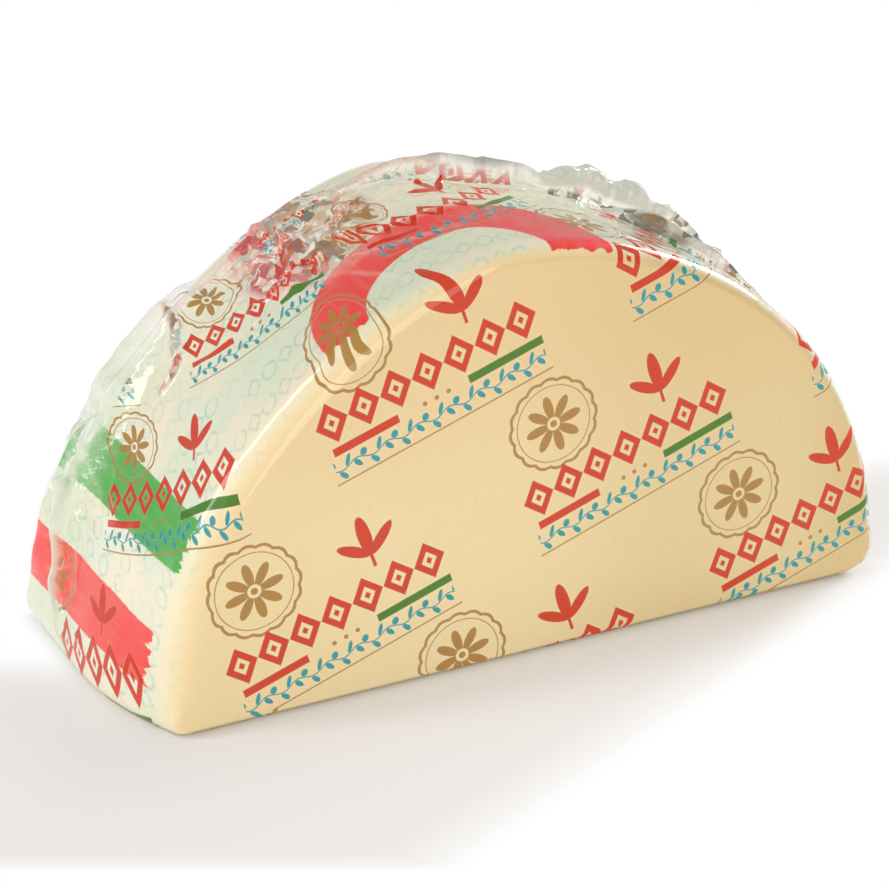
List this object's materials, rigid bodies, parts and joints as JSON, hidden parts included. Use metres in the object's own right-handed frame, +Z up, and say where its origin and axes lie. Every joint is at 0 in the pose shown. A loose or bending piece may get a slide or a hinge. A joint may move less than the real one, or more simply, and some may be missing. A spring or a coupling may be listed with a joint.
{
  "type": "provolone cheese",
  "caption": "Half-moon block of pale provolone cheese, vacuum-packed in clear printed shrink film with a gathered fin of loose film round its rind, standing on its long cut side.",
  "frame": {"origin": "on the ground, under the middle of the block", "axes": "+X along the long ground side, to the right seen from the front; +Y from the front cut face to the back cut face; +Z up"},
  "size_m": [0.2724, 0.1032, 0.1481],
  "materials": {
    "wrapped_cheese": "pale cream-yellow cheese seen through tight, glossy, clear film"
  },
  "bodies": {
    "root": {"wrapped_cheese": "wrapped_cheese"}
  },
  "joints": []
}
